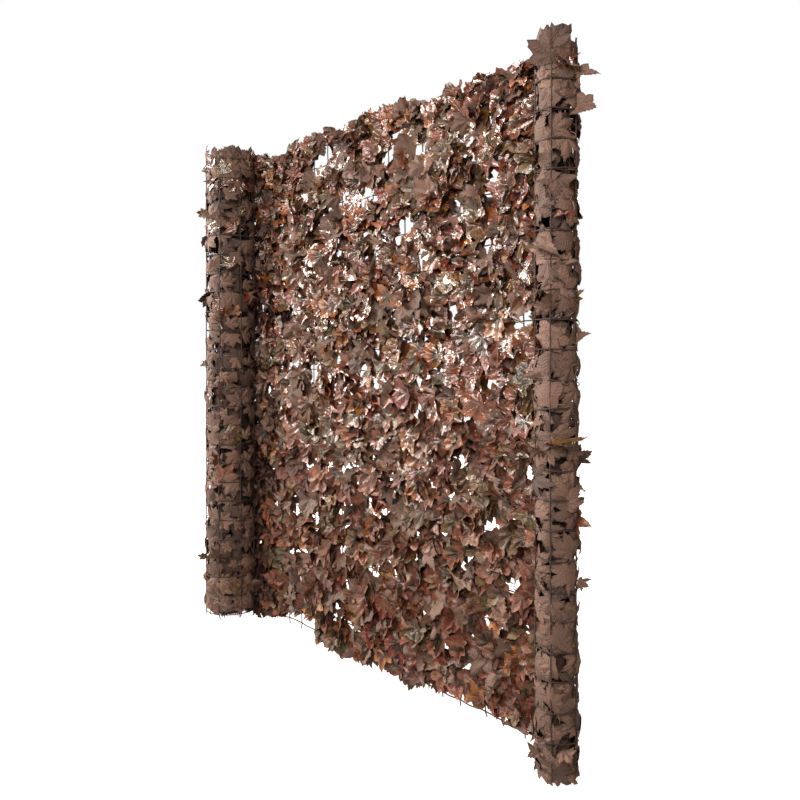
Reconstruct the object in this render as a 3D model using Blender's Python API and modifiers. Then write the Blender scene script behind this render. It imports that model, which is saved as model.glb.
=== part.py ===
"""Balcony privacy screen: a leaf-covered wire net stood on edge, rolled forward at both ends.

Metres, +Z up, floor at z = 0, origin in the middle of the footprint. The open stretch runs
along X. Its leaves face -Y and the bare back of the net faces +Y.
"""

from collections import namedtuple
from math import ceil, cos, pi, radians, sin, sqrt

import bmesh
import bpy
from mathutils import Matrix, Vector

# The net: coated wire, cells a little wider than they are high
ROWS = 24
CELL_HEIGHT = 0.061
OPEN_CELLS = 19
NET_THICK = 0.003
STUB_LENGTH = 0.018
STUB_WIDTH = 0.003
BOTTOM_WIRE = 0.032
TOP_WIRE = BOTTOM_WIRE + ROWS * CELL_HEIGHT
BOW = 0.014
GAP = 0.0003

# The two rolls, in plan: centre, corner radius where the open stretch joins, degrees that
# one facet turns, radius lost in a turn, number of turns, bearing of the joint, and the way
# that the net winds in (1 is anticlockwise from above)
Roll = namedtuple("Roll", "x y radius facet spacing turns joint way flat")
LEFT = Roll(-0.678, 0.014, 0.0860, 51.5, 0.0145, 4.0, 96.5, 1, 0.955)
RIGHT = Roll(0.648, 0.044, 0.0485, 72.0, 0.0150, 2.0, 81.0, -1, 0.880)

# The leaves: depth of the pile on the open stretch and squeezed between turns
OPEN_PILE = 0.027
ROLLED_PILE = 0.0080
TOOTH = 0.008
LEVELS = 9

# Edge of the open stretch's leaves: cell, reach over the top wire, reach under the bottom one
Edge = namedtuple("Edge", "cell over under")
OPEN_EDGE = (
    Edge(0.0, 0.030, 0.024),
    Edge(1.5, 0.026, 0.032),
    Edge(3.0, 0.000, -0.012),
    Edge(4.2, 0.036, -0.010),
    Edge(5.5, 0.030, 0.032),
    Edge(7.0, 0.040, 0.026),
    Edge(8.0, 0.036, 0.032),
    Edge(9.5, 0.052, 0.022),
    Edge(10.5, 0.048, 0.006),
    Edge(11.5, 0.044, 0.030),
    Edge(12.5, 0.012, 0.000),
    Edge(14.5, 0.048, -0.016),
    Edge(16.0, 0.026, -0.010),
    Edge(17.0, 0.032, -0.024),
    Edge(19.0, 0.030, 0.010),
)
ROLL_OVER = {"left": 0.030, "right": 0.026}
ROLL_UNDER = {"left": 0.004, "right": 0.026}

# The largest gaps, each one cell: cell along the open stretch, row up from the bottom wire
Window = namedtuple("Window", "cell row")
WINDOWS = (
    Window(5, 23),
    Window(10, 22),
    Window(15, 22),
    Window(11, 19),
    Window(8, 18),
    Window(13, 15),
    Window(14, 12),
    Window(12, 9),
    Window(15, 5),
    Window(13, 3),
    Window(6, 1),
    Window(14, 1),
)
WINDOW_EDGE = 0.004

# Leaves that stand out of the rolls: corner or facet middle counted in halves of a facet
# from the joint, net row, rise of the stalk, turn of the blade about it, blade length
Leaf = namedtuple("Leaf", "name roll station row rise turn length")
LEAVES = (
    Leaf("leaf_right_top", "right", 4, 23.6, 72, 20, 0.074),
    Leaf("leaf_right_upper_a", "right", 2, 23.0, 12, 80, 0.050),
    Leaf("leaf_right_upper_b", "right", 2, 22.1, -14, 70, 0.047),
    Leaf("leaf_right_middle", "right", 2, 14.3, 28, 60, 0.036),
    Leaf("leaf_right_low", "right", 2, 6.3, -8, 75, 0.036),
    Leaf("leaf_right_front", "right", 5, 10.6, 35, 10, 0.040),
    Leaf("leaf_right_foot_a", "right", 3, 0.8, -12, 15, 0.042),
    Leaf("leaf_right_foot_b", "right", 5, 0.6, -8, -20, 0.038),
    Leaf("leaf_left_top_a", "left", 7, 23.5, 70, 0, 0.054),
    Leaf("leaf_left_top_b", "left", 11, 23.5, 62, 0, 0.050),
    Leaf("leaf_left_upper", "left", 6, 21.2, 10, 65, 0.034),
    Leaf("leaf_left_middle", "left", 5, 13.2, -20, 70, 0.030),
    Leaf("leaf_left_front", "left", 8, 8.2, 40, 15, 0.034),
    Leaf("leaf_left_low", "left", 6, 2.9, 15, 80, 0.032),
)
LEAF_THICK = 0.0012
STALK = 0.005
STALK_WIDTH = 0.003
# Right half of a five-lobed blade, base to tip, as shares of its length
HALF_BLADE = (
    (0.22, -0.08),
    (0.42, -0.04),
    (0.33, 0.10),
    (0.50, 0.20),
    (0.62, 0.42),
    (0.40, 0.37),
    (0.23, 0.40),
    (0.31, 0.62),
    (0.15, 0.70),
)

WIRE_BROWN = (0.070, 0.048, 0.039, 1.0)
LEAF_BROWN = (0.150, 0.082, 0.045, 1.0)
LEAF_BACK = (0.230, 0.155, 0.120, 1.0)


def material(name, colour, roughness):
    made = bpy.data.materials.new(name)
    made.use_nodes = True
    shader = made.node_tree.nodes["Principled BSDF"]
    shader.inputs["Base Color"].default_value = colour
    shader.inputs["Roughness"].default_value = roughness
    shader.inputs["Metallic"].default_value = 0.0
    made.diffuse_color = colour
    return made


def new_object(name, data, collection, finish=None):
    made = bpy.data.objects.new(name, data)
    collection.objects.link(made)
    if finish:
        data.materials.append(finish)
    return made


def roll_corners(roll):
    """Plan points from the joint inwards: facet ends, and the middles of the outer turn's."""
    points = []
    for half in range(2 * ceil(roll.turns * 360 / roll.facet) + 1):
        swept = half * roll.facet / 2
        middle = half % 2 == 1
        if middle and swept > 360:
            continue
        bearing = radians(roll.joint + roll.way * swept)
        radius = (roll.radius - roll.spacing * swept / 360) * (roll.flat if middle else 1)
        points.append(Vector((roll.x + radius * cos(bearing), roll.y + radius * sin(bearing))))
    return points


def open_points(start, end):
    """Plan points of the open stretch at each wire, a shallow arch away from the leaves."""
    points = []
    for cell in range(OPEN_CELLS + 1):
        share = cell / OPEN_CELLS
        points.append(start.lerp(end, share) + Vector((0, BOW * sin(pi * share))))
    return points


def with_middles(points):
    doubled = [points[0]]
    for before, after in zip(points, points[1:]):
        doubled += [before.lerp(after, 0.5), after]
    return doubled


def shifted(points, distance):
    """The same plan line moved sideways, towards the net's bare side if distance > 0."""
    moved = []
    for here, point in enumerate(points):
        before = (point - points[here - 1]).normalized() if here else None
        after = (points[here + 1] - point).normalized() if here + 1 < len(points) else before
        before = before or after
        side = Vector((-before.y - after.y, before.x + after.x)).normalized()
        moved.append(point + side * distance / (side.x * -after.y + side.y * after.x))
    return moved


def bent_grid(plan, heights):
    """A bmesh grid with one column at each plan point, and each corner's column and level."""
    across, up = len(plan) - 1, len(heights[0]) - 1
    grid = bmesh.new()
    bmesh.ops.create_grid(grid, x_segments=across, y_segments=up, size=1)
    places = []
    for corner in grid.verts:
        column = round((corner.co.x + 1) / 2 * across)
        level = round((corner.co.y + 1) / 2 * up)
        places.append((column, level))
        corner.co = (*plan[column], heights[column][level])
    return grid, places


def add_solidify(thing, thickness, offset):
    shell = thing.modifiers.new("thickness", "SOLIDIFY")
    shell.thickness = thickness
    shell.offset = offset
    shell.use_even_offset = True
    return shell


def cut_windows(thing, cutters):
    cut = thing.modifiers.new("gaps", "BOOLEAN")
    cut.operation = "DIFFERENCE"
    cut.solver = "EXACT"
    cut.operand_type = "COLLECTION"
    cut.collection = cutters


def make_cutters(open_line, collection):
    """One block through the open stretch at each of the largest gaps."""
    for window in WINDOWS:
        left, right = open_line[window.cell], open_line[window.cell + 1]
        low = BOTTOM_WIRE + window.row * CELL_HEIGHT
        block = bmesh.new()
        bmesh.ops.create_cube(block, size=1)
        mesh = bpy.data.meshes.new(f"gap_{window.cell}_{window.row}")
        block.to_mesh(mesh)
        block.free()
        cutter = new_object(mesh.name, mesh, collection)
        width = right.x - left.x - 2 * WINDOW_EDGE
        height = CELL_HEIGHT - 2 * WINDOW_EDGE
        cutter.scale = (width, 0.2, height)
        middle = left.lerp(right, 0.5)
        cutter.location = (middle.x, middle.y, low + CELL_HEIGHT / 2)
        cutter.hide_render = True
        cutter.display_type = "WIRE"


def make_net(line, collection, cutters, finish):
    """The whole net as one sheet, its cut wire ends standing past the outermost cross wires."""
    plan = []
    for here, point in enumerate(line[:-1]):
        along = (line[here + 1] - point).normalized()
        plan += [point, point + along * STUB_WIDTH]
    plan.append(line[-1])
    levels = (BOTTOM_WIRE - STUB_LENGTH, BOTTOM_WIRE, TOP_WIRE, TOP_WIRE + STUB_LENGTH)
    grid, places = bent_grid(plan, [levels] * len(plan))
    between_stubs = []
    for face in grid.faces:
        column = min(places[corner.index][0] for corner in face.verts)
        level = min(places[corner.index][1] for corner in face.verts)
        if level != 1 and column % 2 == 1:
            between_stubs.append(face)
    bmesh.ops.delete(grid, geom=between_stubs, context="FACES")
    mesh = bpy.data.meshes.new("wire_net")
    grid.to_mesh(mesh)
    grid.free()
    net = new_object("wire_net", mesh, collection, finish)
    add_solidify(net, NET_THICK, -1)
    cut_windows(net, cutters)
    return net


def open_reach(cell):
    """How far the open stretch's leaves reach past the top and bottom wires at one cell."""
    for before, after in zip(OPEN_EDGE, OPEN_EDGE[1:]):
        if cell <= after.cell:
            share = (cell - before.cell) / (after.cell - before.cell)
            over = before.over + share * (after.over - before.over)
            under = before.under + share * (after.under - before.under)
            return over, under
    return OPEN_EDGE[-1].over, OPEN_EDGE[-1].under


def open_depth(cell, height):
    """Depth of the pile on the open stretch: thin at the joints, lumpy between them."""
    ramp = min(1, 0.34 + 0.42 * cell, 0.34 + 0.42 * (OPEN_CELLS - cell))
    lumps = 0.84 + 0.09 * sin(2.3 * cell + 5 * height) + 0.07 * sin(9.5 * height - 1.1 * cell)
    return OPEN_PILE * max(ROLLED_PILE / OPEN_PILE, ramp * lumps)


def make_cover(line, first_open, outer, collection, cutters, finish):
    """All the leaves as one pile on the net's inner side, its depth a vertex group."""
    base = shifted(line, -GAP)
    last_open = first_open + 2 * OPEN_CELLS
    heights, cells = [], []
    for column in range(len(base)):
        tooth = TOOTH * (1 if column % 2 else -1)
        if first_open <= column <= last_open:
            cell = (column - first_open) / 2
            over, under = open_reach(cell)
            under = min(BOTTOM_WIRE, under + tooth / 2)
        else:
            cell = None
            side = "left" if column < first_open else "right"
            depth_in = first_open - column if side == "left" else column - last_open
            over = ROLL_OVER[side]
            showing = outer[side][0] <= depth_in <= outer[side][1]
            under = ROLL_UNDER[side] + tooth / 4 if showing else BOTTOM_WIRE
        bottom, top = BOTTOM_WIRE - under, TOP_WIRE + over + tooth
        heights.append([bottom + (top - bottom) * level / LEVELS for level in range(LEVELS + 1)])
        cells.append(cell)
    grid, places = bent_grid(base, heights)
    mesh = bpy.data.meshes.new("leaf_cover")
    grid.to_mesh(mesh)
    grid.free()
    cover = new_object("leaf_cover", mesh, collection, finish)
    fullness = cover.vertex_groups.new(name="fullness")
    for index, (column, level) in enumerate(places):
        cell = cells[column]
        depth = ROLLED_PILE if cell is None else open_depth(cell, heights[column][level])
        fullness.add([index], depth / OPEN_PILE, "REPLACE")
    shell = add_solidify(cover, OPEN_PILE, 1)
    shell.vertex_group = "fullness"
    cut_windows(cover, cutters)
    return cover


def blade_outline(length):
    """Stalk and blade in plan, anticlockwise from the stalk's foot."""
    half = [(STALK_WIDTH / 2, 0), (STALK_WIDTH / 2, STALK)]
    half += [(x * length, STALK + y * length) for x, y in HALF_BLADE]
    other = [(-x, y) for x, y in reversed(half)]
    return half + [(0, STALK + length)] + other


def make_leaf(leaf, face, collection, finish):
    """One flat leaf with its stalk's foot on the outside of a roll."""
    curve = bpy.data.curves.new(leaf.name, "CURVE")
    curve.dimensions = "2D"
    curve.fill_mode = "BOTH"
    curve.extrude = LEAF_THICK / 2
    outline = blade_outline(leaf.length)
    spline = curve.splines.new("POLY")
    spline.points.add(len(outline) - 1)
    for point, (x, y) in zip(spline.points, outline):
        point.co = (x, y, 0, 1)
    spline.use_cyclic_u = True
    made = new_object(leaf.name, curve, collection, finish)
    before, foot, after = face[leaf.station - 1 : leaf.station + 2]
    tangent = (after - before).normalized()
    outward = Vector((-tangent.y, tangent.x, 0))
    if leaf.roll == "left":
        outward = -outward
    rise, turn = radians(leaf.rise), radians(leaf.turn)
    along = outward * cos(rise) + Vector((0, 0, sin(rise)))
    facing = Matrix.Rotation(turn, 3, along) @ along.cross(outward.cross(Vector((0, 0, 1))))
    across = along.cross(facing)
    tilt = sqrt(1 - min(1, along.dot(outward)) ** 2)
    clear = GAP + tilt * (LEAF_THICK / 2 * abs(cos(turn)) + STALK_WIDTH / 2 * abs(sin(turn)))
    height = BOTTOM_WIRE + leaf.row * CELL_HEIGHT
    start = Vector((*foot, height)) + outward * clear
    turned = Matrix((across, along, facing)).transposed().to_4x4()
    made.matrix_world = Matrix.Translation(start) @ turned
    return made


def main():
    for old in list(bpy.data.objects):
        bpy.data.objects.remove(old, do_unlink=True)
    screen = bpy.data.collections.new("balcony_privacy_screen")
    cutters = bpy.data.collections.new("cutters")
    bpy.context.scene.collection.children.link(screen)
    bpy.context.scene.collection.children.link(cutters)

    wire = material("coated_wire", WIRE_BROWN, 0.55)
    cover_cloth = material("leaf_cloth", LEAF_BROWN, 0.45)
    back_cloth = material("leaf_back", LEAF_BACK, 0.80)

    left, right = roll_corners(LEFT), roll_corners(RIGHT)
    open_line = open_points(left[0], right[0])
    net_line = left[:0:-1] + open_line + right[1:]
    cover_line = left[:0:-1] + with_middles(open_line) + right[1:]
    outer_halves = {"left": (4, 12), "right": (2, 7)}

    make_cutters(open_line, cutters)
    make_net(net_line, screen, cutters, wire)
    make_cover(cover_line, len(left) - 1, outer_halves, screen, cutters, cover_cloth)
    faces = {
        "left": shifted(left, -NET_THICK),
        "right": shifted(right, NET_THICK),
    }
    for leaf in LEAVES:
        make_leaf(leaf, faces[leaf.roll], screen, back_cloth)


main()
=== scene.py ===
from collections import namedtuple
from math import ceil, cos, pi, radians, sin

import bpy
import numpy as np
from mathutils import Matrix, Vector


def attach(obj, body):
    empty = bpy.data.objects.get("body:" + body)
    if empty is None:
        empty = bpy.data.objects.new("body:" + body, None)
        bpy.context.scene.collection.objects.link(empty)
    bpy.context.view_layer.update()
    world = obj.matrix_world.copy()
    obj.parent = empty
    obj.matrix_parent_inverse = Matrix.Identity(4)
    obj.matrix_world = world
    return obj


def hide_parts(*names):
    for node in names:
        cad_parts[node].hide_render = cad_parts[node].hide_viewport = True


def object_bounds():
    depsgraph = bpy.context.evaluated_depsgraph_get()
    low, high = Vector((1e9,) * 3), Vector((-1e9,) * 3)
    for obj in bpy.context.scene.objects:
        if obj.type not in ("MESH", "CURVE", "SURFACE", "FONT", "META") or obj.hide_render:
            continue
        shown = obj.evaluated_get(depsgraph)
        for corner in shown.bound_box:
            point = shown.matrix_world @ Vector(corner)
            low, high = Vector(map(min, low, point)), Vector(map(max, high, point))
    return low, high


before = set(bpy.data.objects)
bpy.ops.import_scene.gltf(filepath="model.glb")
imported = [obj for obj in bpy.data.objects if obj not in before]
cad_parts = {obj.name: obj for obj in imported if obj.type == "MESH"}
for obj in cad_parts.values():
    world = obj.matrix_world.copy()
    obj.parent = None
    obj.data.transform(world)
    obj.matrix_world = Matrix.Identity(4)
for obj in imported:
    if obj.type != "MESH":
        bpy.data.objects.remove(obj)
cad_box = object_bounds()
dice = np.random.default_rng(1181)


# ---- Wire net -------------------------------------------------------------------------------
# Welded steel wire, dip-coated in dark brown PVC, bought as a 3 m length and stood on edge.
# Both ends are wound up towards the leaves. The plan line repeats the solid model's formulas.
ROWS = 24
CELL_HEIGHT = 0.061
OPEN_CELLS = 19
BOTTOM_WIRE = 0.032
TOP_WIRE = BOTTOM_WIRE + ROWS * CELL_HEIGHT
BOW = 0.014
WIRE_RADIUS = 0.0016
NET_DEPTH = -0.0020
LEVEL_OUT = 0.0012  # level wires lie this far outside the uprights
STUB = 0.017
FLOOR_CLEAR = 0.0015

Roll = namedtuple("Roll", "x y radius facet spacing turns joint way flat")
LEFT = Roll(-0.678, 0.014, 0.0860, 51.5, 0.0145, 4.0, 96.5, 1, 0.955)
RIGHT = Roll(0.648, 0.044, 0.0485, 72.0, 0.0150, 2.0, 81.0, -1, 0.880)


def roll_corners(roll):
    """Plan points from the joint inwards, each with True where an upright wire stands."""
    points = []
    for half in range(2 * ceil(roll.turns * 360 / roll.facet) + 1):
        swept = half * roll.facet / 2
        middle = half % 2 == 1
        if middle and swept > 360:
            continue
        bearing = radians(roll.joint + roll.way * swept)
        radius = (roll.radius - roll.spacing * swept / 360) * (roll.flat if middle else 1)
        place = Vector((roll.x + radius * cos(bearing), roll.y + radius * sin(bearing)))
        points.append((place, not middle))
    return points


left_corners, right_corners = roll_corners(LEFT), roll_corners(RIGHT)
joints = left_corners[0][0], right_corners[0][0]
open_corners = []
for cell in range(OPEN_CELLS + 1):
    share = cell / OPEN_CELLS
    bowed = joints[0].lerp(joints[1], share) + Vector((0, BOW * sin(pi * share)))
    open_corners.append((bowed, True))
plan = left_corners[:0:-1] + open_corners + right_corners[1:]
first_open = len(left_corners) - 1
last_open = first_open + OPEN_CELLS

plan_points = np.array([tuple(point) for point, _ in plan])
runs = np.diff(plan_points, axis=0)
lengths = np.linalg.norm(runs, axis=1)
plan_reach = np.concatenate([[0], np.cumsum(lengths)])
run_sides = np.stack([-runs[:, 1], runs[:, 0]], 1) / lengths[:, None]
plan_sides = np.concatenate([run_sides[:1], run_sides[:-1] + run_sides[1:], run_sides[-1:]])
plan_sides /= np.linalg.norm(plan_sides, axis=1)[:, None]
open_start, open_end = plan_reach[first_open], plan_reach[last_open]
open_cell = (open_end - open_start) / OPEN_CELLS


def rolled(flat):
    """Places on the unrolled net, as reach along it, height and depth on the leaf side."""
    reach = flat[..., 0]
    spot = [np.interp(reach, plan_reach, plan_points[:, axis]) for axis in (0, 1)]
    side = [np.interp(reach, plan_reach, plan_sides[:, axis]) for axis in (0, 1)]
    size = np.hypot(*side)
    past = np.maximum(0, reach - plan_reach[-1]) + np.minimum(0, reach)
    x = spot[0] - side[0] / size * flat[..., 2] + past * side[1] / size
    y = spot[1] - side[1] / size * flat[..., 2] - past * side[0] / size
    return np.stack([x, y, np.maximum(flat[..., 1], FLOOR_CLEAR)], -1)


def tubes(name, lines, radius):
    """One mesh of round wires along lines of world points."""
    curve = bpy.data.curves.new(name, "CURVE")
    curve.dimensions = "3D"
    curve.bevel_depth = radius
    curve.bevel_resolution = 1
    curve.use_fill_caps = True
    for line in lines:
        spline = curve.splines.new("POLY")
        spline.points.add(len(line) - 1)
        spline.points.foreach_set("co", np.c_[line, np.ones(len(line))].ravel())
        spline.use_smooth = True
    shape = bpy.data.objects.new(name, curve)
    bpy.context.scene.collection.objects.link(shape)
    depsgraph = bpy.context.evaluated_depsgraph_get()
    mesh = bpy.data.meshes.new_from_object(shape.evaluated_get(depsgraph))
    bpy.data.objects.remove(shape)
    mesh.name = name
    mesh.materials.clear()
    made = bpy.data.objects.new(name, mesh)
    bpy.context.scene.collection.objects.link(made)
    return made


upright_reach = [plan_reach[i] for i, (_, upright) in enumerate(plan) if upright]
wires = []
for row in range(ROWS + 1):
    level = BOTTOM_WIRE + row * CELL_HEIGHT
    points = []
    heights = level + dice.normal(0, 0.0013, len(upright_reach))
    for here in range(len(upright_reach) - 1):
        start, end = upright_reach[here : here + 2]
        on_open = open_start <= start < open_end
        sag = dice.normal(-0.0008, 0.0022 if on_open else 0.0012)
        push = dice.normal(0, 0.0012 if on_open else 0.0004)
        for share in (0.0, 0.12, 0.5, 0.88):
            lift = heights[here] + share * (heights[here + 1] - heights[here])
            bend = 4 * share * (1 - share)
            reach = start + share * (end - start)
            points.append((reach, lift + sag * bend, NET_DEPTH - LEVEL_OUT + push * bend))
    points.append((upright_reach[-1], heights[-1], NET_DEPTH - LEVEL_OUT))
    wires.append(rolled(np.array(points)))
for reach in upright_reach:
    on_open = open_start < reach < open_end
    lean = dice.normal(0, 0.009) if on_open else dice.normal(0, 0.001)
    wave, swing = dice.uniform(0, 2 * pi), dice.uniform(0.6, 1.6)
    width = 0.004 if on_open else 0.0016
    points = []
    last_level = 2 * ROWS
    for level in range(last_level + 1):
        share = level / last_level
        wander = lean * (share - 0.5) + width * sin(wave + 2 * pi * swing * share)
        kink = dice.normal(0, 0.0010) if level % 2 else 0.0
        height = BOTTOM_WIRE + share * (TOP_WIRE - BOTTOM_WIRE)
        points.append((reach + wander + kink, height, NET_DEPTH))
    foot, head = points[0], points[-1]
    tilt = dice.normal(0, 0.0025, 4)
    points.insert(0, (foot[0] + tilt[0], foot[1] - STUB + abs(tilt[1]), foot[2] + tilt[1]))
    points.append((head[0] + tilt[2], head[1] + STUB - abs(tilt[3]), head[2] + tilt[3]))
    wires.append(rolled(np.array(points)))


def hex_colour(code):
    """An sRGB hex value as linear red, green, blue and alpha."""
    parts = [int(code[i : i + 2], 16) / 255 for i in (1, 3, 5)]
    linear = [c / 12.92 if c <= 0.04045 else ((c + 0.055) / 1.055) ** 2.4 for c in parts]
    return (*linear, 1.0)


def add_node(tree, kind, settings=(), **inputs):
    """A node with its settings; each input is a value or another node's output socket."""
    node = tree.nodes.new(kind)
    for name, value in dict(settings).items():
        setattr(node, name, value)
    for key, value in inputs.items():
        place = int(key[1:]) if key[0] == "_" else key.replace("_", " ")
        socket = node.inputs[place]
        if isinstance(value, bpy.types.Node):
            value = value.outputs[0]
        if isinstance(value, bpy.types.NodeSocket):
            tree.links.new(value, socket)
        else:
            socket.default_value = value
    return node


def new_material(name):
    """An empty material and its node tree."""
    made = bpy.data.materials.new(name)
    made.use_nodes = True
    made.node_tree.nodes.clear()
    return made, made.node_tree


def colour_steps(node, steps):
    """Fills a colour ramp from (position, hex colour) pairs."""
    ramp = node.color_ramp
    while len(ramp.elements) < len(steps):
        ramp.elements.new(1.0)
    for element, (position, colour) in zip(ramp.elements, steps):
        element.position = position
        element.color = hex_colour(colour)


# Dip-coated PVC: satin, slightly lumpy, dulled and paler where dust has settled on it.
coated_wire, tree = new_material("pvc_dipped_wire")
place = add_node(tree, "ShaderNodeTexCoord").outputs["Object"]
dust = add_node(tree, "ShaderNodeTexNoise", Vector=place, Scale=38.0, Detail=4.0)
brown = add_node(tree, "ShaderNodeValToRGB", _0=dust)
colour_steps(brown, ((0.30, "#1B110D"), (0.55, "#2E1F18"), (0.78, "#46342A")))
lumps = add_node(tree, "ShaderNodeTexNoise", Vector=place, Scale=420.0, Detail=2.0)
bump = add_node(tree, "ShaderNodeBump", Height=lumps, Strength=0.35, Distance=0.0006)
shine = add_node(tree, "ShaderNodeMapRange", Value=dust, _3=0.66, _4=0.86)
shader = add_node(
    tree,
    "ShaderNodeBsdfPrincipled",
    Base_Color=brown,
    Roughness=shine,
    Normal=bump,
    IOR=1.53,
)
add_node(tree, "ShaderNodeOutputMaterial", Surface=shader)

net = tubes("net_wires", wires, WIRE_RADIUS)
net.data.materials.append(coated_wire)
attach(net, "root")
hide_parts("wire_net")


# ---- Leaf cloth -----------------------------------------------------------------------------
# Polyester cloth, printed with autumn colours on the front, hot-cut to a five-lobed toothed
# outline and pressed between ribbed dies, so every vein is a pleat. The back keeps plain taupe.
CLOTH = 0.00036
INNER_RING = 0.52  # the ring of points inside the edge, as a share of the way to it
SHARP_EDGE = 110  # degrees
# Edge of half a blade, tip to stalk: degrees from the midrib, reach as a share of its length
HALF_EDGE = (
    (0, 1.00),
    (7, 0.83),
    (11, 0.84),
    (16, 0.67),
    (21, 0.69),
    (27, 0.52),
    (33, 0.63),
    (40, 0.72),
    (47, 0.86),
    (54, 0.71),
    (60, 0.70),
    (67, 0.54),
    (76, 0.44),
    (86, 0.53),
    (98, 0.60),
    (110, 0.46),
    (124, 0.40),
    (142, 0.24),
    (180, 0.09),
)
MAIN_VEINS = (0, 47, -47, 98, -98)

edge = list(HALF_EDGE)
edge += [(-angle, reach) for angle, reach in HALF_EDGE[-2:0:-1]]
edge_angle = np.radians([angle for angle, _ in edge])
edge_reach = np.array([reach for _, reach in edge])
edge_count = len(edge)
tooth_out = np.array([-1 if i % 2 else 1 for i in range(edge_count)])
vein_angles = np.radians(MAIN_VEINS)


def blade_faces():
    """Triangles of one face of a blade: a fan at the stalk, then a band to the edge."""
    faces = []
    for here in range(edge_count):
        after = (here + 1) % edge_count
        faces.append((0, 1 + after, 1 + here))
        inner, inner_after = 1 + here, 1 + after
        outer, outer_after = inner + edge_count, inner_after + edge_count
        if here % 2:
            faces += [(inner, inner_after, outer), (inner_after, outer_after, outer)]
        else:
            faces += [(inner, inner_after, outer_after), (inner, outer_after, outer)]
    return np.array(faces)


front_faces = blade_faces()
front_count = 1 + 2 * edge_count
inner_count = 1 + edge_count
blade_count = front_count + inner_count
back_faces = np.where(front_faces < inner_count, front_faces + front_count, front_faces)[:, ::-1]
blade_triangles = np.concatenate([front_faces, back_faces])
# How far each point is from the nearest main vein, as 0 on it and 1 between two
gap_to_vein = np.abs((edge_angle[:, None] - vein_angles + pi) % (2 * pi) - pi).min(axis=1)
between_veins = np.clip(gap_to_vein / radians(23), 0, 1)
reach_of = np.concatenate([[0], np.full(edge_count, INNER_RING), np.ones(edge_count)])


def cloth_of(points):
    """Area of one face of a blade."""
    a, b, c = (points[front_faces[:, corner]] for corner in range(3))
    return np.linalg.norm(np.cross(b - a, c - a), axis=1).sum() / 2


def blade_points(length, lobing, width, pleat, fold, flops, droop, cup, twist):
    """One face of a blade, stalk at the origin and tip along +Y, its front facing +Z."""
    rim = edge_reach**lobing
    ring = 0.5 * (rim + rim.mean()) * INNER_RING
    radius = np.concatenate([[0], ring, rim])
    angle = np.concatenate([[0], edge_angle, edge_angle])
    x, y = radius * np.sin(angle) * width, radius * np.cos(angle)
    inner_ridge = 0.075 * (between_veins - 0.45)
    outer_ridge = 0.035 * between_veins + 0.016 * tooth_out
    ridge = np.concatenate([[0], inner_ridge, outer_ridge])
    z = pleat * ridge + droop * y * abs(y) + cup * x * x + twist * x * y
    off = np.abs((angle[:, None] - vein_angles + pi) % (2 * pi) - pi)
    z += (np.clip(1 - off / radians(30), 0, 1) * flops).sum(axis=1) * np.maximum(0, radius - 0.3)
    flat = np.stack([x, y, 0 * x], 1) * length
    curled = np.stack([x * cos(fold), y, z + abs(x) * sin(fold)], 1) * length
    return flat, curled * (cloth_of(flat) / cloth_of(curled)) ** 0.5


def vein_map(flat):
    """For each triangle corner: millimetres along its main vein, and away from it."""
    flat = flat[front_faces][:, :, :2] * 1000
    middle = flat.mean(axis=1)
    bearing = np.arctan2(middle[:, 0], middle[:, 1])
    off = (bearing[:, None] - vein_angles + pi) % (2 * pi) - pi
    mine = vein_angles[np.abs(off).argmin(axis=1)]
    along = flat[:, :, 0] * np.sin(mine)[:, None] + flat[:, :, 1] * np.cos(mine)[:, None]
    away = flat[:, :, 0] * np.cos(mine)[:, None] - flat[:, :, 1] * np.sin(mine)[:, None]
    away *= np.where(away.mean(axis=1) < 0, -1, 1)[:, None]
    return np.stack([along, away], 2)


def turned(spin, lift, roll):
    """Rotation of a blade on the unrolled net: spin from hanging, tip lifted out, then rolled."""
    hang = np.array([[-1, 0, 0], [0, -1, 0], [0, 0, 1]], float).T
    spun = np.array([[cos(spin), -sin(spin), 0], [sin(spin), cos(spin), 0], [0, 0, 1]])
    up = np.array([[1, 0, 0], [0, cos(lift), -sin(lift)], [0, sin(lift), cos(lift)]])
    side = np.array([[cos(roll), 0, sin(roll)], [0, 1, 0], [-sin(roll), 0, cos(roll)]])
    return spun @ hang @ up @ side


def loose(depth, floor, ceiling):
    """Presses a blade's depths softly between the net and the pile's face."""
    above = depth - floor
    depth = floor + 0.5 * (above + np.sqrt(above**2 + 0.0012**2))
    over = ceiling - depth
    return ceiling - 0.5 * (over + np.sqrt(over**2 + 0.004**2))


Blade = namedtuple("Blade", "points flat shade tint")


def shaped_blade(length, limp=1.0, flatness=1.0, lobing=(0.5, 1.05), dome=0.0):
    """A blade with its own lobing, curl and flutter; a dome bends its edge to the front."""
    return blade_points(
        length,
        lobing=dice.uniform(*lobing),
        width=dice.uniform(0.86, 1.14),
        pleat=dice.uniform(0.9, 2.1) * flatness,
        fold=radians(dice.normal(0, 16)) * limp,
        flops=dice.normal(0, 0.38, len(MAIN_VEINS)) * limp,
        droop=dice.normal(dome - 0.05, 0.20) * limp,
        cup=dice.normal(dome, 0.28) * limp,
        twist=dice.normal(0, 0.25) * limp,
    )


puff_share = dice.uniform(0.45, 1.0, (len(upright_reach) + 1, ROWS + 3))


def puff(place):
    """From 0 at the wires to 1 in the middle of a cell: how far leaves push out through it."""
    column = np.clip(np.searchsorted(upright_reach, place[:, 0]), 1, len(upright_reach) - 1)
    start, end = np.array(upright_reach)[column - 1], np.array(upright_reach)[column]
    across = np.clip((place[:, 0] - start) / (end - start), 0, 1)
    level = np.clip((place[:, 1] - BOTTOM_WIRE) / CELL_HEIGHT, -0.99, ROWS + 0.99)
    row = np.floor(level)
    swell = (np.sin(pi * across) * np.sin(pi * (level - row))).clip(0, 1) ** 0.6
    return swell * puff_share[column, row.astype(int) + 1]


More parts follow.
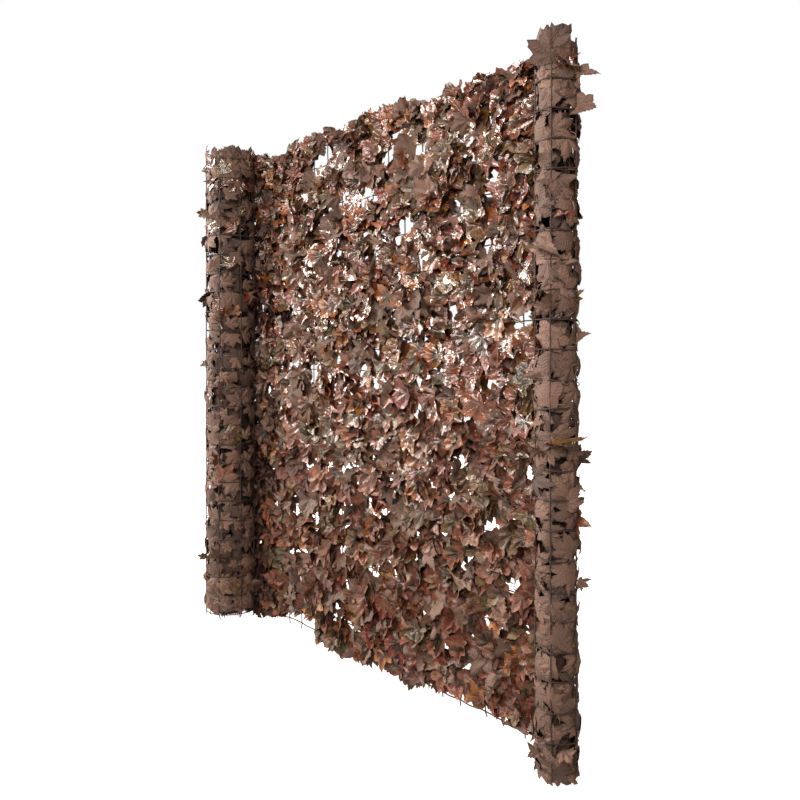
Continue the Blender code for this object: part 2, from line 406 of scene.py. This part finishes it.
def hang_blade(where, spin, lift, roll, length, floor, ceiling, *shape):
    """One leaf on the net: its stalk end at (reach, height, depth) where."""
    flat, points = shaped_blade(length, *shape)
    place = points @ turned(spin, lift, roll).T + np.array(where)
    place[:, 2] = loose(place[:, 2], floor, ceiling)
    return flat, place


def between(place, lowest, highest):
    """Slides a blade up or down the net until it ends inside the ragged edges."""
    place[:, 1] -= max(0, (place[:, 1] - highest).max())
    place[:, 1] += max(0, (lowest - place[:, 1]).max())
    return place


def finish_blade(flat, world, painted_shade=False):
    """Front and back faces of the cloth, a hair apart inside the edge and meeting on it."""
    a, b, c = (world[front_faces[:, corner]] for corner in range(3))
    normals = np.zeros_like(world)
    for corner in range(3):
        np.add.at(normals, front_faces[:, corner], np.cross(b - a, c - a))
    normals /= np.linalg.norm(normals, axis=1)[:, None] + 1e-12
    half = normals[:inner_count] * CLOTH / 2
    inner, rim = world[:inner_count], world[inner_count:]
    points = np.concatenate([inner + half, rim, inner - half])
    points[:, 2] = np.maximum(points[:, 2], FLOOR_CLEAR)
    shade, tint = dice.uniform(size=2)
    # Painted shade: a leaf in a shaded pocket or deep inside a roll gets the darkest print and cloth tones.
    if painted_shade:
        shade, tint = 0.06 * shade, 0.42
    return Blade(points, flat, shade, tint)


def leaf_mesh(name, blades):
    """Many leaves as one mesh, each with its own places on the vein map and the bake map."""
    count, per_face = len(blades), len(front_faces)
    triangles = np.concatenate([blade_triangles + blade_count * i for i in range(count)])
    mesh = bpy.data.meshes.new(name)
    mesh.from_pydata(np.concatenate([b.points for b in blades]), [], triangles)
    slots = np.tile(np.repeat([0, 1], per_face), count)
    mesh.polygons.foreach_set("material_index", slots.astype(np.int32))
    mesh.polygons.foreach_set("use_smooth", np.ones(len(triangles), bool))
    mesh.set_sharp_from_angle(angle=radians(SHARP_EDGE))
    veins, pads = [], []
    side = ceil((2 * count) ** 0.5)
    for i, blade in enumerate(blades):
        vein = vein_map(blade.flat)
        veins += [vein, vein[:, ::-1]]
        small = blade.flat[:, :2] / np.abs(blade.flat).max() / 2.2
        for square, order in ((2 * i, front_faces), (2 * i + 1, front_faces[:, ::-1])):
            pads.append(((small + 0.5 + np.array([square % side, square // side])) / side)[order])
    for label, corners in (("veins", veins), ("OFBake", pads)):
        spots = np.concatenate(corners).astype(np.float32).ravel()
        mesh.uv_layers.new(name=label).uv.foreach_set("vector", spots)
    outward = np.concatenate([reach_of, reach_of[:inner_count]])
    for label, values in (
        ("shade", np.repeat([b.shade for b in blades], blade_count)),
        ("tint", np.repeat([b.tint for b in blades], blade_count)),
        ("outward", np.tile(outward, count)),
    ):
        layer = mesh.attributes.new(label, "FLOAT", "POINT")
        layer.data.foreach_set("value", values.astype(np.float32))
    mesh.update()
    made = bpy.data.objects.new(name, mesh)
    bpy.context.scene.collection.objects.link(made)
    mesh.materials.append(leaf_front)
    mesh.materials.append(leaf_back)
    return made


RIB_SPACING = 8.0  # millimetres between the pressed side ribs
SMOOTH = {"interpolation_type": "SMOOTHSTEP"}
SCALE_ADD = {"operation": "MULTIPLY_ADD"}
TIMES = {"operation": "MULTIPLY"}
ZIGZAG = {"operation": "PINGPONG"}
BLEND = {"data_type": "RGBA"}
DARKEN = {"data_type": "RGBA", "blend_type": "MULTIPLY"}


def vein_lines(tree):
    """Mask of the main veins and height of the pressed side ribs, from the vein map."""
    veins = add_node(tree, "ShaderNodeUVMap", {"uv_map": "veins"})
    parts = add_node(tree, "ShaderNodeSeparateXYZ", _0=veins)
    along, away = parts.outputs[0], parts.outputs[1]
    main = add_node(tree, "ShaderNodeMapRange", SMOOTH, Value=away, _1=0.3, _2=1.3, _3=1.0, _4=0.0)
    slant = add_node(tree, "ShaderNodeMath", SCALE_ADD, _0=away, _1=-0.75, _2=along)
    wander = add_node(tree, "ShaderNodeTexNoise", Vector=veins, Scale=0.11, Detail=1.0)
    slant = add_node(tree, "ShaderNodeMath", SCALE_ADD, _0=wander, _1=9.0, _2=slant)
    turns = add_node(tree, "ShaderNodeMath", {"operation": "DIVIDE"}, _0=slant, _1=RIB_SPACING)
    rib = add_node(tree, "ShaderNodeMath", ZIGZAG, _0=turns, _1=0.5)
    rib_height = add_node(tree, "ShaderNodeMapRange", SMOOTH, Value=rib, _1=0.0, _2=0.5, _3=0.0, _4=1.0)
    return main.outputs[0], rib_height.outputs[0]


# Printed polyester: less glossy towards the bottom, its colour darkened low down with painted shade
# and brightened high up with painted light, softly folded, each leaf a green or brown heart running
# out to orange, ochre or dark red, with paler veins and blots.
leaf_front, tree = new_material("printed_polyester_leaf")
main_vein, ribs = vein_lines(tree)
shade = add_node(tree, "ShaderNodeAttribute", {"attribute_name": "shade"}).outputs["Fac"]
tint = add_node(tree, "ShaderNodeAttribute", {"attribute_name": "tint"}).outputs["Fac"]
outward = add_node(tree, "ShaderNodeAttribute", {"attribute_name": "outward"}).outputs["Fac"]
place = add_node(tree, "ShaderNodeTexCoord").outputs["Object"]
blots = add_node(tree, "ShaderNodeTexNoise", Vector=place, Scale=34.0, Detail=3.0)
heart = add_node(tree, "ShaderNodeValToRGB", _0=shade)
colour_steps(
    heart,
    (
        (0.00, "#150A06"),
        (0.18, "#2C150C"),
        (0.34, "#5A2A14"),
        (0.46, "#5E391C"),
        (0.56, "#3A1F11"),
        (0.68, "#302912"),
        (0.80, "#171C10"),
        (0.90, "#270F0A"),
        (1.00, "#4A2815"),
    ),
)
tips = add_node(tree, "ShaderNodeValToRGB", _0=tint)
colour_steps(
    tips,
    (
        (0.00, "#6C4228"),
        (0.08, "#641C14"),
        (0.22, "#5E4822"),
        (0.40, "#3A1C14"),
        (0.56, "#70351C"),
        (0.63, "#8C541C"),
        (0.69, "#3C3A1E"),
        (0.84, "#5E2A17"),
        (1.00, "#6B3B22"),
    ),
)
run_out = add_node(tree, "ShaderNodeMath", SCALE_ADD, _0=blots, _1=1.1, _2=outward)
spread = add_node(tree, "ShaderNodeMapRange", SMOOTH, Value=run_out, _1=0.85, _2=1.45)
print_colour = add_node(tree, "ShaderNodeMix", BLEND, _0=spread, _6=heart, _7=tips)
blotch = add_node(tree, "ShaderNodeTexNoise", Vector=place, Scale=190.0, Detail=4.0)
dark = add_node(tree, "ShaderNodeMapRange", Value=blotch, _1=0.35, _2=0.62, _3=0.62, _4=1.12)
toned = add_node(tree, "ShaderNodeMix", DARKEN, _0=1.0, _6=print_colour.outputs[2], _7=dark)
height_up = add_node(tree, "ShaderNodeSeparateXYZ", _0=place).outputs[2]
# Painted shade and light: the print is darkened towards the bottom and brightened towards the top.
painted_shade_and_light_by_height = add_node(tree, "ShaderNodeMapRange", Value=height_up, _1=0.3, _2=1.3, _3=0.93, _4=1.10)
toned = add_node(tree, "ShaderNodeMix", DARKEN, _0=1.0, _6=toned.outputs[2], _7=painted_shade_and_light_by_height)
vein_share = add_node(tree, "ShaderNodeMath", TIMES, _0=main_vein, _1=0.40)
veined = add_node(tree, "ShaderNodeMix", BLEND, _0=vein_share, _6=toned.outputs[2], _7=hex_colour("#86704A"))
height = add_node(tree, "ShaderNodeMath", SCALE_ADD, _0=main_vein, _1=-1.8, _2=ribs)
crumple = add_node(tree, "ShaderNodeTexNoise", Vector=place, Scale=31.0, Detail=1.0)
folds = add_node(tree, "ShaderNodeMath", TIMES, _0=crumple, _1=1.7)
folds = add_node(tree, "ShaderNodeMath", ZIGZAG, _0=folds, _1=0.5)
creased = add_node(tree, "ShaderNodeMath", SCALE_ADD, _0=folds, _1=22.0, _2=height)
bump = add_node(tree, "ShaderNodeBump", Height=creased, Strength=1.0, Distance=0.00028)
by_leaf = add_node(tree, "ShaderNodeMath", SCALE_ADD, _0=tint, _1=7.0, _2=shade)
by_leaf = add_node(tree, "ShaderNodeMath", {"operation": "FRACT"}, _0=by_leaf)
satin = add_node(tree, "ShaderNodeMapRange", Value=by_leaf, _1=0.35, _2=1.0, _3=0.19, _4=0.44)
gloss = add_node(tree, "ShaderNodeMath", SCALE_ADD, _0=blotch, _1=0.12, _2=satin)
dulled = add_node(tree, "ShaderNodeMapRange", Value=height_up, _1=0.35, _2=0.95, _3=0.26, _4=0.0)
gloss = add_node(tree, "ShaderNodeMath", {"operation": "ADD"}, _0=gloss, _1=dulled)
coat = add_node(tree, "ShaderNodeMapRange", Value=height_up, _1=0.35, _2=0.95, _3=0.0, _4=0.55)
sheen = add_node(tree, "ShaderNodeMapRange", Value=height_up, _1=0.35, _2=0.95, _3=0.32, _4=0.5)
shader = add_node(
    tree,
    "ShaderNodeBsdfPrincipled",
    Base_Color=veined.outputs[2],
    Roughness=gloss,
    Normal=bump,
    IOR=1.72,
    Specular_IOR_Level=sheen,
    Coat_Weight=coat,
    Coat_Roughness=0.25,
    Coat_IOR=1.6,
    Coat_Normal=bump,
)
add_node(tree, "ShaderNodeOutputMaterial", Surface=shader)

# Unprinted reverse of the same cloth: matte taupe, the print just showing through in places.
leaf_back, tree = new_material("unprinted_polyester_reverse")
main_vein, ribs = vein_lines(tree)
shade = add_node(tree, "ShaderNodeAttribute", {"attribute_name": "shade"}).outputs["Fac"]
tint = add_node(tree, "ShaderNodeAttribute", {"attribute_name": "tint"}).outputs["Fac"]
outward = add_node(tree, "ShaderNodeAttribute", {"attribute_name": "outward"}).outputs["Fac"]
place = add_node(tree, "ShaderNodeTexCoord").outputs["Object"]
stain = add_node(tree, "ShaderNodeTexNoise", Vector=place, Scale=26.0, Detail=3.0)
taupe = add_node(tree, "ShaderNodeValToRGB", _0=shade)
colour_steps(
    taupe,
    (
        (0.00, "#35251D"),
        (0.20, "#664E42"),
        (0.40, "#46342B"),
        (0.60, "#6B5245"),
        (0.80, "#503D31"),
        (1.00, "#604B3E"),
    ),
)
through = add_node(tree, "ShaderNodeValToRGB", _0=tint)
colour_steps(through, ((0.0, "#6A4029"), (0.35, "#542F28"), (0.65, "#4A422D"), (1.0, "#5C3E30")))
showing = add_node(tree, "ShaderNodeMath", TIMES, _0=stain, _1=outward)
amount = add_node(tree, "ShaderNodeMapRange", SMOOTH, Value=showing, _1=0.35, _2=0.75, _3=0.0, _4=0.75)
cloth = add_node(tree, "ShaderNodeMix", BLEND, _0=amount, _6=taupe, _7=through)
vein_share = add_node(tree, "ShaderNodeMath", TIMES, _0=main_vein, _1=0.30)
veined = add_node(tree, "ShaderNodeMix", BLEND, _0=vein_share, _6=cloth.outputs[2], _7=hex_colour("#3A2C25"))
# Darker along each leaf's edge: painted shade standing for the shadow lines between overlapping leaves.
rim = add_node(tree, "ShaderNodeMapRange", SMOOTH, Value=outward, _1=0.86, _2=1.0, _3=0.0, _4=0.70)
edge_painted_shade = add_node(tree, "ShaderNodeMix", BLEND, _0=rim, _6=veined.outputs[2], _7=hex_colour("#2A1D18"))
height = add_node(tree, "ShaderNodeMath", SCALE_ADD, _0=main_vein, _1=0.8, _2=ribs)
bump = add_node(tree, "ShaderNodeBump", Height=height, Strength=0.6, Distance=0.0010)
weave = add_node(tree, "ShaderNodeTexNoise", Vector=place, Scale=900.0, Detail=2.0)
grain = add_node(tree, "ShaderNodeBump", Height=weave, Normal=bump, Strength=0.25, Distance=0.0003)
rough = add_node(tree, "ShaderNodeMapRange", Value=stain, _3=0.62, _4=0.82)
shader = add_node(
    tree,
    "ShaderNodeBsdfPrincipled",
    Base_Color=edge_painted_shade.outputs[2],
    Roughness=rough,
    Normal=grain,
    IOR=1.57,
)
add_node(tree, "ShaderNodeOutputMaterial", Surface=shader)


def hand_in(piece, blades, *nodes):
    """Rides and replaces one piece: it rides on the root and the solids it stands in for are hidden. The
    blades are not used.
    """
    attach(piece, "root")
    if nodes:
        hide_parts(*nodes)


def in_strips(blades, start, end, count):
    """Shares (reach, blade) pairs out between equal stretches of the net."""
    limits = [start + (end - start) * i / count for i in range(1, count)]
    strips = [[] for _ in range(count)]
    for reach, blade in blades:
        strips[sum(reach >= limit for limit in limits)].append(blade)
    return strips


# ---- Leaves on the open stretch -------------------------------------------------------------
# About five leaves to a net cell: two lie near the net and three stand out from it, one more
# in the corner by the left roll. Gaps are listed as first and last cell, first and last row.
GAPS = (
    (4.9, 5.6, 22.9, 23.8),
    (5.6, 6.5, 23.0, 24.0),
    (9.5, 10.4, 22.0, 22.8),
    (11.5, 12.3, 22.0, 22.8),
    (16.3, 16.9, 22.0, 22.8),
    (10.7, 11.5, 20.7, 21.4),
    (10.5, 11.5, 19.0, 19.8),
    (7.6, 8.5, 17.8, 18.4),
    (13.4, 14.1, 15.2, 16.0),
    (14.4, 15.1, 14.2, 14.8),
    (13.4, 14.0, 14.2, 14.8),
    (12.1, 12.8, 11.6, 12.2),
    (12.0, 12.7, 9.3, 9.9),
    (14.1, 14.7, 8.1, 8.7),
    (13.6, 15.0, 1.2, 1.8),
    (16.8, 17.5, 3.3, 4.0),
    (2.7, 5.2, -0.6, 0.6),
    (15.0, 17.3, -0.6, 0.5),
)
SIGHT = Vector((1.716, -1.271))  # the side from which the gaps run straight through the pile

# Reach past the top wire and under the bottom one, cell by cell, as in the solid model
OPEN_EDGE = (
    (0.0, 0.030, 0.024),
    (1.5, 0.026, 0.032),
    (3.0, 0.000, -0.012),
    (4.2, 0.036, -0.010),
    (5.5, 0.030, 0.032),
    (7.0, 0.040, 0.026),
    (8.0, 0.036, 0.032),
    (9.5, 0.052, 0.022),
    (10.5, 0.048, 0.006),
    (11.5, 0.044, 0.030),
    (12.5, 0.012, 0.000),
    (14.5, 0.048, -0.016),
    (16.0, 0.026, -0.010),
    (17.0, 0.032, -0.024),
    (19.0, 0.030, 0.010),
)
gap_boxes = np.array(GAPS)
edge_cells, edge_over, edge_under = np.array(OPEN_EDGE).T
test_points = np.r_[0, 1:inner_count:3, inner_count:front_count:2]
GAP_TRIM = 0.27  # how far the points of a blade may reach into a gap, in cells


def in_gap(place):
    """True if a blade on the open stretch hides part of a gap."""
    world = rolled(place[test_points])
    depth = place[test_points, 2]
    slope = (world[:, 0] - SIGHT.x) / (world[:, 1] - SIGHT.y)
    cell = (place[test_points, 0] + slope * depth - open_start) / open_cell
    row = (place[test_points, 1] - BOTTOM_WIRE) / CELL_HEIGHT
    inside = (
        (cell[:, None] > gap_boxes[:, 0] + GAP_TRIM)
        & (cell[:, None] < gap_boxes[:, 1] - GAP_TRIM)
        & (row[:, None] > gap_boxes[:, 2] + GAP_TRIM)
        & (row[:, None] < gap_boxes[:, 3] - GAP_TRIM)
    )
    return inside.any()


def open_edges(place):
    """Heights that a blade on the open stretch stays between, point by point."""
    cell = (place[:, 0] - open_start) / open_cell
    over = TOP_WIRE + np.interp(cell, edge_cells, edge_over) + 0.008 - dice.uniform(0, 0.016)
    under = BOTTOM_WIRE - np.interp(cell, edge_cells, edge_under) - 0.004 + dice.uniform(0, 0.012)
    return under, over


Layer = namedtuple("Layer", "count depth lift roll length floor ceiling limp")
OPEN_LAYERS = (
    Layer(2, (0.001, 0.008), (4, 12), 12, (0.056, 0.072), 0.0004, 0.026, 0.75),
    Layer(3, (0.006, 0.018), (28, 20), 30, (0.048, 0.066), 0.0030, 0.038, 1.2),
)
OPEN_PUFF = 0.0035
OPEN_TURNED = 0.17  # share of leaves that show their backs
OPEN_STRIPS = 6
CORNER_CELLS = 2
TRIES = 8
open_blades = []
stalk_lines = []
for cell in range(OPEN_CELLS):
    for row in range(-1, ROWS + 1):
        for layer in OPEN_LAYERS:
            for _ in range(layer.count + (cell < CORNER_CELLS)):
                for attempt in range(TRIES):
                    length = dice.uniform(*layer.length) * (1 - 0.045 * attempt)
                    where = (
                        open_start + (cell + dice.uniform(-0.15, 1.15)) * open_cell,
                        BOTTOM_WIRE + (row + dice.uniform(0.0, 1.3)) * CELL_HEIGHT,
                        dice.uniform(*layer.depth),
                    )
                    spin = dice.normal(0, 1.25)
                    lift = radians(abs(dice.normal(*layer.lift)))
                    roll = radians(dice.normal(0, layer.roll))
                    roll += pi * (dice.uniform() < OPEN_TURNED)
                    limits = layer.floor + dice.uniform(0, 0.004), layer.ceiling
                    flat, place = hang_blade(where, spin, lift, roll, length, *limits, layer.limp)
                    between(place, *open_edges(place))
                    place[:, 2] -= OPEN_PUFF * puff(place)
                    if not in_gap(place):
                        # Leaves in the first cell or two by the left roll take the darkest tones: painted
                        # shade of the pocket beside the roll.
                        in_painted_shade_corner = where[0] < open_start + dice.uniform(1.0, 2.3) * open_cell
                        blade = finish_blade(flat, rolled(place), in_painted_shade_corner)
                        open_blades.append((where[0], blade))
                        break

for number, mine in enumerate(in_strips(open_blades, open_start, open_end, OPEN_STRIPS), 1):
    piece = leaf_mesh(f"open_leaves_{number}", mine)
    hand_in(piece, mine, *(["leaf_cover"] if number == 1 else []))


# ---- Leaves in the rolls --------------------------------------------------------------------
# The same leaves, pressed against the inside of the net as it was wound, so the rolls show
# their taupe backs behind the wires. Deep in the rolls they are sparse except at the ends.
Winding = namedtuple("Winding", "name start end count ends strips puff peeking turned sizes")
left_turn = plan_reach[first_open - 14]  # the outermost turn of each roll, in half facets
right_turn = plan_reach[last_open + 10]
SMALL, MEDIUM, LARGE = (0.042, 0.062), (0.050, 0.070), (0.060, 0.078)
WINDINGS = (
    Winding("left_roll_outside", left_turn, open_start, 2.3, 3.4, 2, 0.0115, 36, 0.06, SMALL),
    Winding("left_roll_inside", 0.0, left_turn, 1.0, 1.8, 1, 0.002, 0, 0.0, LARGE),
    Winding("right_roll_outside", open_end, right_turn, 2.8, 3.6, 1, 0.0100, 40, 0.02, MEDIUM),
    Winding("right_roll_inside", right_turn, plan_reach[-1], 1.6, 2.4, 1, 0.002, 0, 0.0, LARGE),
)
ROLL_OVER = {"left": 0.030, "right": 0.026}
ROLL_UNDER = {"left": 0.004, "right": 0.026}
CELL_FILLING = 0.55  # share of the leaves that fill a cell from its middle
PEEKING_FRONTS = {"left": 0.4, "right": 0.12}
MIDDLE = 0.42  # from a leaf's stalk to its middle, as a share of its length
SEAT = 0.0036  # how far the leaves are pressed out between the wires
furthest_left, furthest_back = cad_box[0][0] - 0.045, cad_box[1][1] + 0.012
for winding in WINDINGS:
    side = winding.name.split("_")[0]
    over, under = TOP_WIRE + ROLL_OVER[side] + 0.008, BOTTOM_WIRE - ROLL_UNDER[side] - 0.004
    outside = winding.name.endswith("outside")
    if not outside:
        under = BOTTOM_WIRE - 0.012
    rolled_blades = []
    width = winding.end - winding.start
    middles = np.array(upright_reach[:-1]) + np.diff(upright_reach) / 2
    middles = middles[(middles > winding.start) & (middles < winding.end)]
    for row in range(-1, ROWS + 1):
        near_end = row < 2 or row > ROWS - 3
        wanted = (winding.ends if near_end else winding.count) * width / open_cell
        for index in range(round(wanted)):
            length = dice.uniform(*winding.sizes)
            spin = dice.uniform(-pi, pi)
            where = [
                winding.start + width * (index + dice.uniform(-0.2, 1.2)) / wanted,
                BOTTOM_WIRE + (row + dice.uniform(0.0, 1.0)) * CELL_HEIGHT,
                dice.uniform(0.001, 0.006),
            ]
            if outside and dice.uniform() < CELL_FILLING:
                where[0] = middles[np.abs(middles - where[0]).argmin()] + dice.normal(0, 0.010)
                where[1] = BOTTOM_WIRE + (row + 0.5 + dice.normal(0, 0.15)) * CELL_HEIGHT
            if outside and row >= ROWS - 1:
                spin = pi + dice.normal(0, 0.45)
            where[0] -= MIDDLE * length * sin(spin)
            where[1] += MIDDLE * length * cos(spin)
            lift, roll = radians(dice.normal(0, 9)), radians(dice.normal(0, 9))
            show_front = 0.28 if side == "left" and row > ROWS - 3 else winding.turned
            roll += pi * (dice.uniform() < show_front)
            limits = -0.0006 + dice.uniform(0, 0.0040), 0.0100
            limp, dome = (0.9, 0.20) if outside else (0.4, 0.0)
            shape = limp, limp, (0.8, 1.4), dome
            flat, place = hang_blade(where, spin, lift, roll, length, *limits, *shape)
            lowest = under + dice.uniform(0, 0.026 if side == "left" else 0.012)
            ragged = (-0.022, 0.010) if row >= ROWS - 1 else (-0.018, 0.026)
            between(place, lowest, over - dice.uniform(*ragged))
            place[:, 2] -= SEAT + winding.puff * puff(place)
            if 0 < place[:, 0].min() and place[:, 0].max() < plan_reach[-1]:
                # Leaves on the inner windings take the darkest tones: painted shade inside the roll.
                rolled_blades.append((where[0], finish_blade(flat, rolled(place), not outside)))
    for _ in range(winding.peeking):
        length = dice.uniform(0.030, 0.054)
        where = (
            dice.uniform(winding.start, winding.end),
            BOTTOM_WIRE + dice.uniform(0.2, ROWS - 0.2) * CELL_HEIGHT,
            dice.uniform(0.0, 0.003),
        )
        lift, roll = -radians(dice.uniform(6, 48)), radians(dice.normal(0, 25))
        roll += pi * (dice.uniform() < PEEKING_FRONTS[side])
        spin = dice.uniform(-pi, pi)
        flat, place = hang_blade(where, spin, lift, roll, length, -1.0, 0.008, 1.8)
        between(place, under, over)
        place[:, 2] -= 0.5 * winding.puff * puff(place)
        world = rolled(place)
        if world[:, 1].max() < furthest_back and world[:, 0].min() > furthest_left:
            rolled_blades.append((where[0], finish_blade(flat, world)))
    strips = in_strips(rolled_blades, winding.start, winding.end, winding.strips)
    for number, mine in enumerate(strips, 1):
        label = f"_{number}" if len(strips) > 1 else ""
        piece = leaf_mesh(winding.name + label, mine)
        hand_in(piece, mine)


# ---- Leaves that stand out ------------------------------------------------------------------
# Single leaves on the outside of the rolls, pushed through the net by the winding. Each takes
# the place of its own solid: half facets from the joint, row, rise, turn and blade length.
Leaf = namedtuple("Leaf", "name roll station row rise turn length")
LEAVES = (
    Leaf("leaf_right_top", "right", 4, 23.6, 72, 20, 0.074),
    Leaf("leaf_right_upper_a", "right", 2, 23.0, 12, 80, 0.050),
    Leaf("leaf_right_upper_b", "right", 2, 22.1, -14, 70, 0.047),
    Leaf("leaf_right_middle", "right", 2, 14.3, 28, 60, 0.036),
    Leaf("leaf_right_low", "right", 2, 6.3, -8, 75, 0.036),
    Leaf("leaf_right_front", "right", 5, 10.6, 35, 10, 0.040),
    Leaf("leaf_right_foot_a", "right", 3, 0.8, -12, 15, 0.042),
    Leaf("leaf_right_foot_b", "right", 5, 0.6, -8, -20, 0.038),
    Leaf("leaf_left_top_a", "left", 7, 23.5, 70, 0, 0.054),
    Leaf("leaf_left_top_b", "left", 11, 23.5, 62, 0, 0.050),
    Leaf("leaf_left_upper", "left", 6, 21.2, 10, 65, 0.034),
    Leaf("leaf_left_middle", "left", 5, 13.2, -20, 70, 0.030),
    Leaf("leaf_left_front", "left", 8, 8.2, 40, 15, 0.034),
    Leaf("leaf_left_low", "left", 6, 2.9, 15, 80, 0.032),
)
STALK = 0.005
standing = []
for leaf in LEAVES:
    corner = first_open - leaf.station if leaf.roll == "left" else last_open + leaf.station
    side = plan_sides[corner]
    outward = Vector((side[0], side[1], 0))
    foot = Vector((*plan_points[corner], BOTTOM_WIRE + leaf.row * CELL_HEIGHT)) + outward * 0.0035
    rise, turn = radians(leaf.rise), radians(leaf.turn)
    along = outward * cos(rise) + Vector((0, 0, sin(rise)))
    facing = Matrix.Rotation(turn, 3, along) @ along.cross(outward.cross(Vector((0, 0, 1))))
    if leaf.roll == "right" and leaf.turn < 45 and leaf.row > 5:
        facing = -facing
    across = along.cross(facing)
    flat, points = shaped_blade(0.90 * leaf.length, 1.3, 1.2)
    start = foot + along * STALK
    standing.append(finish_blade(flat, points @ np.array([across, along, facing]) + np.array(start)))
    stalk_lines.append(np.array([foot - outward * 0.004, foot + along * STALK * 0.5, start]))
piece = leaf_mesh("standing_leaves", standing)
hand_in(piece, standing, *[leaf.name for leaf in LEAVES])


# ---- Leaf stalks ----------------------------------------------------------------------------
# Soft PVC stalks moulded with each leaf, hooked round a wire. They show most on the outside
# of the rolls, where they curve over the net.
STALK_RADIUS = 0.00085
STALK_STEPS = 9
STALK_RUNS = ((80, open_end, right_turn), (90, left_turn, open_start), (110, open_start, open_end))
for count, start, end in STALK_RUNS:
    for _ in range(count):
        reach = dice.uniform(start, end)
        height = BOTTOM_WIRE + dice.uniform(0.3, ROWS - 0.4) * CELL_HEIGHT
        heading, bend = dice.uniform(0, 2 * pi), dice.normal(0, 1.3)
        length, arch = dice.uniform(0.018, 0.042), dice.uniform(0.002, 0.006)
        points = []
        here = np.array([reach, height])
        for step in range(STALK_STEPS + 1):
            share = step / STALK_STEPS
            depth = 0.002 - (arch + 0.0045) * sin(pi * min(1, share * 1.05))
            points.append((here[0], here[1], depth))
            way = heading + bend * share
            here = here + length / STALK_STEPS * np.array([cos(way), sin(way)])
        line = np.array(points)
        if line[:, 1].max() < TOP_WIRE and line[:, 1].min() > BOTTOM_WIRE:
            stalk_lines.append(rolled(line))

# Moulded PVC: soft satin in a dull pinkish brown, paler than the wire, slightly mottled.
stalk_pvc, tree = new_material("moulded_pvc_stalk")
place = add_node(tree, "ShaderNodeTexCoord").outputs["Object"]
mottle = add_node(tree, "ShaderNodeTexNoise", Vector=place, Scale=60.0, Detail=3.0)
pink = add_node(tree, "ShaderNodeValToRGB", _0=mottle)
colour_steps(pink, ((0.3, "#4A342B"), (0.55, "#6E5145"), (0.75, "#85664C")))
skin = add_node(tree, "ShaderNodeBump", Height=mottle, Strength=0.3, Distance=0.0008)
sheen = add_node(tree, "ShaderNodeMapRange", Value=mottle, _3=0.35, _4=0.6)
shader = add_node(
    tree,
    "ShaderNodeBsdfPrincipled",
    Base_Color=pink,
    Roughness=sheen,
    Normal=skin,
    IOR=1.53,
)
add_node(tree, "ShaderNodeOutputMaterial", Surface=shader)
stalks = tubes("leaf_stalks", stalk_lines, STALK_RADIUS)
stalks.data.materials.append(stalk_pvc)
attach(stalks, "root")


# ---- Studio ---------------------------------------------------------------------------------
# A large soft light high on the left, two in front and a weak one behind for the bare side of
# the net. The flat floor and the surround look white to the camera, but they light the leaves
# dimly and warmly, so the colours stay deep.
floor_mesh = bpy.data.meshes.new("floor")
half = 30
corners = [(-half, -half, 0), (half, -half, 0), (half, half, 0), (-half, half, 0)]
floor_mesh.from_pydata(corners, [], [(0, 1, 2, 3)])
floor = bpy.data.objects.new("floor", floor_mesh)
bpy.context.scene.collection.objects.link(floor)
paper, tree = new_material("pale_paper")
matt = add_node(tree, "ShaderNodeBsdfDiffuse", Color=hex_colour("#C6C2BE"))
seen = add_node(tree, "ShaderNodeLightPath").outputs["Is Camera Ray"]
lift = add_node(tree, "ShaderNodeMapRange", Value=seen, _3=0.0, _4=0.98)
glow = add_node(tree, "ShaderNodeEmission", Color=hex_colour("#FFFFFF"), Strength=lift)
both = add_node(tree, "ShaderNodeAddShader", _0=matt, _1=glow)
add_node(tree, "ShaderNodeOutputMaterial", Surface=both)
floor_mesh.materials.append(paper)


def soft_light(name, place, target, width, height, power, colour):
    """A rectangular area light of the given watts, aimed at the target."""
    light = bpy.data.lights.new(name, "AREA")
    light.shape = "RECTANGLE"
    light.size, light.size_y = width, height
    light.energy = power
    light.color = hex_colour(colour)[:3]
    lamp = bpy.data.objects.new(name, light)
    bpy.context.scene.collection.objects.link(lamp)
    lamp.location = place
    lamp.rotation_euler = (Vector(target) - Vector(place)).to_track_quat("-Z", "Y").to_euler()
    return lamp


soft_light("left_bank", (-3.2, -2.4, 2.5), (0.0, 0.05, 1.25), 2.4, 1.8, 422, "#FFF1E8")
soft_light("front_bank", (0.9, -3.6, 3.0), (0.0, 0.0, 1.2), 1.6, 1.6, 84, "#FFEEE0")
soft_light("near_fill", (2.3, -2.4, 2.7), (0.4, 0.0, 1.3), 1.6, 1.6, 118, "#FFF0EA")
back_fill = soft_light("back_fill", (-1.8, 3.4, 2.6), (0.0, 0.0, 0.8), 2.0, 1.8, 160, "#FFF4EC")
back_fill.visible_camera = False
world = bpy.data.worlds.new("studio")
world.use_nodes = True
bpy.context.scene.world = world
tree = world.node_tree
tree.nodes.clear()
seen = add_node(tree, "ShaderNodeLightPath").outputs["Is Camera Ray"]
strength = add_node(tree, "ShaderNodeMapRange", Value=seen, _3=0.34, _4=1.0)
warmth = add_node(tree, "ShaderNodeMix", BLEND, _0=seen, _6=hex_colour("#E0C5AF"), _7=hex_colour("#FFFFFF"))
sky = add_node(tree, "ShaderNodeBackground", Color=warmth.outputs[2], Strength=strength)
add_node(tree, "ShaderNodeOutputWorld", Surface=sky)
bpy.context.scene.view_settings.view_transform = "Standard"

camera_data = bpy.data.cameras.new("camera")
camera_data.lens = 36.3
camera_data.sensor_width = 36.0
camera_data.shift_y = -0.066
camera = bpy.data.objects.new("camera", camera_data)
bpy.context.scene.collection.objects.link(camera)
camera.location = (SIGHT.x, SIGHT.y, 0.891)
camera.rotation_euler = Vector((-0.766, 0.643, 0.0)).to_track_quat("-Z", "Y").to_euler()
bpy.context.scene.camera = camera
